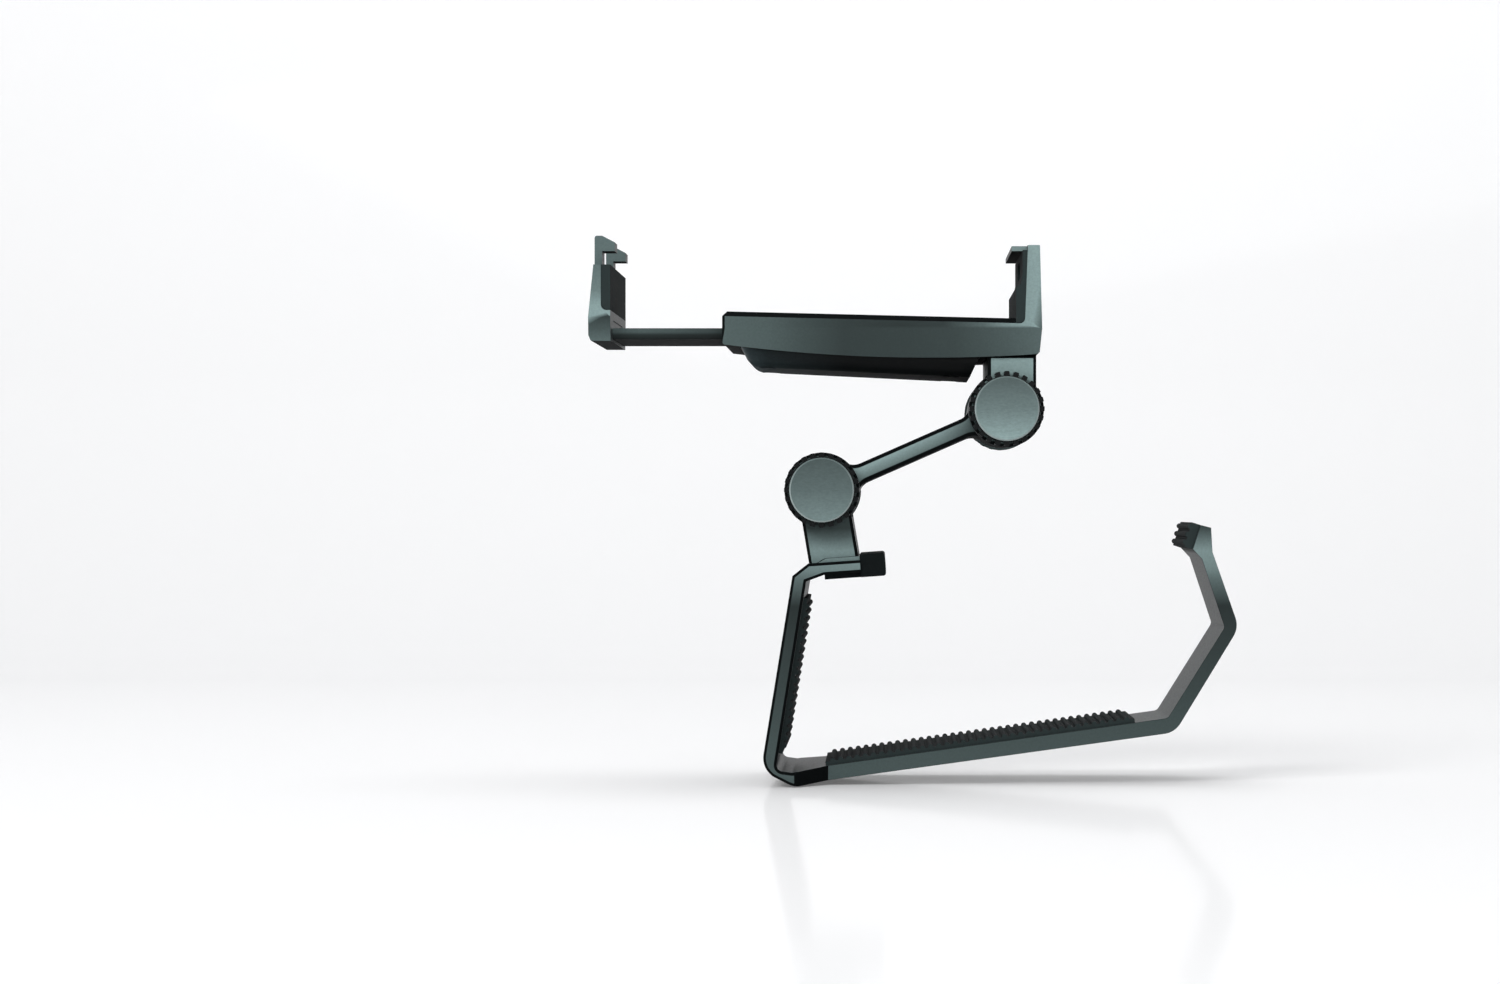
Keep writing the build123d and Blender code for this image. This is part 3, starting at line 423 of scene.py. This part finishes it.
def soften(name, width, segments):
    """Rounds the sharp edges of a CAD node by a small width, without touching its mesh."""
    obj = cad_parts[name]
    weld = obj.modifiers.new("weld", "WELD")
    weld.merge_threshold = WELD_GAP
    bevel = obj.modifiers.new("edges", "BEVEL")
    bevel.width = width
    bevel.segments = segments
    bevel.limit_method = "ANGLE"
    bevel.angle_limit = math.radians(SHARP_ANGLE)
    bevel.harden_normals = False
    bevel.use_clamp_overlap = True
    normals = obj.modifiers.new("normals", "WEIGHTED_NORMAL")
    normals.keep_sharp = False
    normals.weight = NORMAL_WEIGHT


def finish_nodes(material, *names):
    """Gives each of the CAD nodes the one material."""
    for name in names:
        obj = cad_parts[name]
        obj.data.materials.clear()
        obj.data.materials.append(material)


def along(*pairs):
    """Painted light levels with their places written in millimetres, in order along the axis.
    """
    return [(place * MM, bright) for place, bright in pairs]


def object_of(mesh, name):
    """An object in the scene from a finished bmesh."""
    data = bpy.data.meshes.new(name)
    mesh.to_mesh(data)
    mesh.free()
    obj = bpy.data.objects.new(name, data)
    bpy.context.scene.collection.objects.link(obj)
    return obj


# Finishes of the moulded parts, brightest where the photo's soft light falls
# Painted light and shade: each finish below is brighter where light falls on its part and
# darker where shade falls
housing_finish = graphite(
    "graphite_housing",
    along(
        (-22, 0.8), (-14, 0.72), (-7, 0.46), (0, 0.31), (10, 0.25),
        (18, 0.31), (25, 0.85), (29, 1.7), (34, 2.35),
    ),
    # Painted shade under the crease
    leaning_painted_shade=along(
        (-22, 0.82), (-14, 0.74), (-7, 0.5), (0, 0.33),
        (12, 0.36), (20, 0.42), (29, 0.68), (35, 0.9),
    ),
)
jaw_finish = graphite(
    "graphite_sliding_jaw",
    along((46.5, 2.5), (49, 2.4), (52, 1.4), (57, 1.1)),
    axis="Z",
    # Painted shade under the crease
    leaning_painted_shade=along((43, 0.95), (45, 0.6), (47, 0.35)),
)
neck_finish = graphite(
    "graphite_neck",
    along((24, 0.9), (34, 1.6), (37.5, 2.5), (41, 2.5)),
    axis="Z",
)
arm_finish = graphite(
    "graphite_arm",
    # Painted light, brightest along the top of the bar
    along((14.9, 1.1), (16.2, 1.9), (17.3, 2.7)),
    axis="Z",
    tilt=ARM_TILT,
    # Painted shade, darkest towards both barrels
    painted_fade=along(
        (3, 0.5), (8.5, 0.7), (11, 1.15), (26, 0.85), (31, 0.5), (34, 0.25), (40, 0.2),
    ),
)
cradle_finish = graphite(
    "graphite_cradle",
    along(
        (-35, 0.7), (-20, 0.4), (-5, 0.2), (0, 1.0), (1.5, 1.5), (3, 1.7),
        (5, 1.9), (6.2, 1.4), (7.2, 1.0), (9, 0.4), (16, 0.6),
    ),
    axis="Z",
)
slide_finish = graphite(
    "graphite_slide",
    along((43.3, 0.1), (44.1, 0.3), (44.6, 1.0), (45.3, 1.1)),
    axis="Z",
    # Painted shade, darker rearward
    painted_fade=along((-46, 1.0), (-38, 0.7), (-22, 0.35)),
)
finish_nodes(housing_finish, "clamp_housing")
finish_nodes(jaw_finish, "sliding_jaw")
finish_nodes(neck_finish, "clamp_neck")
finish_nodes(arm_finish, "link_arm")
finish_nodes(cradle_finish, "cradle")
finish_nodes(slide_finish, "slide_plate")

# Each pair of caps: its joint, and the brightness of its painted light at the foot and at the
# top
for joint, low_shade, high_shade in (("lower", 1.75, 0.65), ("upper", 2.75, 0.75)):
    for side in ("near", "far"):
        cap = f"{joint}_{side}_cap"
        finish_nodes(brushed_cap(f"graphite_{cap}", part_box(cap), low_shade, high_shade), cap)

# Painted light on the cover's rounded front end, dimming rearward
cover_painted_light = along((-20, 4.0), (-17, 2.0), (-14, 1.0), (-8, 0.6), (0, 0.15), (26, 0.12))
cover_black = dark_plastic("black_cover", COVER_LIT, COVER_ROUGH, cover_painted_light)
finish_nodes(cover_black, "clamp_cover")
knob_black = dark_plastic("knob_plastic", BLACK_PLASTIC, KNOB_ROUGH)
finish_nodes(
    knob_black,
    "lower_near_knob", "lower_far_knob", "upper_near_knob", "upper_far_knob",
)
rubber = soft_rubber("black_rubber", RUBBER, RUBBER_PAINTED_SIDE_LIGHT)
finish_nodes(
    rubber,
    "front_pad", "bottom_pad", "hook_pad", "fixed_jaw_pad", "sliding_jaw_pad",
)
finish_nodes(soft_rubber("boot_rubber", RUBBER, RUBBER), "saddle_pad")
steel = bare_metal("plated_steel", STEEL, STEEL_ROUGH)
finish_nodes(
    steel,
    "cover_screws", "jaw_screws", "neck_screws", "lower_bolt", "upper_bolt",
    "lower_nut", "upper_nut", "return_spring", "spring_anchor",
)
finish_nodes(dark_plastic("nylon", NYLON, NYLON_ROUGH), "lower_washers", "upper_washers")

for rounding, segments, names in ROUNDED:
    for name in names:
        soften(name, rounding, segments)


# Return spring: one wire with a hook at each end
SPRING_WIRE = 0.3 * MM
SPRING_RADIUS = 1.5 * MM
SPRING_TURNS = 7
HOOK_LEG = 0.6 * MM
HOOK_START = 90
HOOK_TURN = 300
STEPS_PER_TURN = 28
WIRE_SIDES = 8


def wire_line(low, high):
    """Points along the wire: a hook round the post, the coil, and a hook round the anchor."""
    level = (low.z + high.z) / 2
    inset = SPRING_RADIUS + SPRING_WIRE
    post_x = low.x + inset
    anchor_x = high.x - inset
    coil_start = post_x + SPRING_RADIUS + HOOK_LEG
    coil_end = anchor_x - SPRING_RADIUS - HOOK_LEG
    points = []
    hook_steps = STEPS_PER_TURN * HOOK_TURN // 360
    for step in range(hook_steps + 1):
        angle = math.radians(HOOK_START + HOOK_TURN * (1 - step / hook_steps))
        x = post_x + SPRING_RADIUS * math.cos(angle)
        points.append((x, SPRING_RADIUS * math.sin(angle), level))
    coil_steps = STEPS_PER_TURN * SPRING_TURNS
    for step in range(coil_steps + 1):
        angle = 2 * math.pi * step / STEPS_PER_TURN
        x = coil_start + (coil_end - coil_start) * step / coil_steps
        z = level + SPRING_RADIUS * math.sin(angle)
        points.append((x, SPRING_RADIUS * math.cos(angle), z))
    for step in range(hook_steps + 1):
        angle = math.radians(HOOK_START + HOOK_TURN * step / hook_steps)
        x = anchor_x - SPRING_RADIUS * math.cos(angle)
        points.append((x, SPRING_RADIUS * math.sin(angle), level))
    return [Vector(point) for point in points]


def make_spring(material):
    """A tube along the wire, which replaces the plain solid."""
    low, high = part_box("return_spring")
    line = wire_line(low, high)
    mesh = bmesh.new()
    rings = []
    side = Vector((0, 0, 1))
    for index, point in enumerate(line):
        ahead = line[min(index + 1, len(line) - 1)]
        behind = line[max(index - 1, 0)]
        run = (ahead - behind).normalized()
        side = (side - side.dot(run) * run).normalized()
        across = run.cross(side)
        ring = []
        for corner in range(WIRE_SIDES):
            angle = 2 * math.pi * corner / WIRE_SIDES
            outward = math.cos(angle) * side + math.sin(angle) * across
            ring.append(mesh.verts.new(point + SPRING_WIRE * outward))
        rings.append(ring)
    for first, second in zip(rings, rings[1:]):
        for corner in range(WIRE_SIDES):
            after = (corner + 1) % WIRE_SIDES
            corners = (first[corner], first[after], second[after], second[corner])
            mesh.faces.new(corners).smooth = True
    mesh.faces.new(reversed(rings[0]))
    mesh.faces.new(rings[-1])
    bmesh.ops.recalc_face_normals(mesh, faces=mesh.faces)
    spring = object_of(mesh, "spring_wire")
    spring.data.materials.append(material)
    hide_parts("return_spring")
    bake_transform(spring)


make_spring(steel)


def paper(floor_level):
    """Pale paper, lifted towards white with height where it is seen or mirrored."""
    material, tree, shader = new_material("paper", PAPER_ROUGHNESS, PAPER_SPECULAR)
    shader.inputs["Base Color"].default_value = rgba(FLOOR)
    shader.inputs["Coat Weight"].default_value = PAPER_COAT
    shader.inputs["Coat Roughness"].default_value = PAPER_COAT_ROUGHNESS
    shader.inputs["Emission Color"].default_value = rgba(WHITE)
    _, parts = object_places(tree)
    rays = tree.nodes.new("ShaderNodeLightPath").outputs
    seen = math_node(tree, "MAXIMUM", rays["Is Camera Ray"], rays["Is Glossy Ray"])
    seen = math_node(tree, "MAXIMUM", seen, rays["Is Transmission Ray"])
    top = floor_level + PAPER_LIFT_HEIGHT
    lift = range_node(tree, parts.outputs["Z"], floor_level, top, *PAPER_LIFT)
    strength = math_node(tree, "MULTIPLY", seen, lift)
    tree.links.new(strength, shader.inputs["Emission Strength"])
    return material


def make_sweep():
    """A floor that curves up into a backdrop behind the clip."""
    floor_level = cad_low.z - SWEEP_DROP
    curve_start = SWEEP_BACK - SWEEP_RADIUS
    profile = [(SWEEP_NEAR, floor_level), (curve_start, floor_level)]
    for step in range(1, SWEEP_STEPS + 1):
        angle = math.radians(90 * step / SWEEP_STEPS)
        y = curve_start + SWEEP_RADIUS * math.sin(angle)
        profile.append((y, floor_level + SWEEP_RADIUS * (1 - math.cos(angle))))
    profile.append((SWEEP_BACK, floor_level + SWEEP_HEIGHT))
    mesh = bmesh.new()
    left_row = [mesh.verts.new((-SWEEP_HALF_WIDTH, y, z)) for y, z in profile]
    right_row = [mesh.verts.new((SWEEP_HALF_WIDTH, y, z)) for y, z in profile]
    for index in range(len(profile) - 1):
        after = index + 1
        corners = (left_row[index], right_row[index], right_row[after], left_row[after])
        mesh.faces.new(corners).smooth = True
    sweep = object_of(mesh, "sweep")
    sweep.data.materials.append(paper(floor_level))


def add_lamp(name, place, aim, size, watts):
    """A soft rectangular lamp that looks at the aim."""
    light = bpy.data.lights.new(name, "AREA")
    light.shape = "RECTANGLE"
    light.size, light.size_y = size
    light.energy = watts
    lamp = bpy.data.objects.new(name, light)
    lamp.location = place
    lamp.rotation_euler = (Vector(aim) - Vector(place)).to_track_quat("-Z", "Y").to_euler()
    bpy.context.scene.collection.objects.link(lamp)


make_sweep()
for lamp in LAMPS:
    add_lamp(*lamp)

world = bpy.data.worlds.new("studio")
world.use_nodes = True
background = world.node_tree.nodes["Background"]
background.inputs["Color"].default_value = rgba(SKY)
background.inputs["Strength"].default_value = WORLD_STRENGTH
bpy.context.scene.world = world

# Camera at the photo's place, with its shift from the photo's vanishing point
camera_data = bpy.data.cameras.new("camera")
camera_data.sensor_width = SENSOR_MM
camera_data.lens = FOCAL_PIXELS / PHOTO_WIDTH * SENSOR_MM
camera_data.shift_x = (PHOTO_WIDTH / 2 - VANISHING_X) / PHOTO_WIDTH
camera_data.shift_y = (VANISHING_Y - PHOTO_HEIGHT / 2) / PHOTO_WIDTH
camera_data.clip_start = CLIP_NEAR
camera_data.clip_end = CLIP_FAR
camera = bpy.data.objects.new("camera", camera_data)
camera.location = CAMERA_PLACE
camera.rotation_euler = (math.radians(CAMERA_LEVEL), 0, 0)
bpy.context.scene.collection.objects.link(camera)
bpy.context.scene.camera = camera
bpy.context.scene.view_settings.view_transform = "Standard"
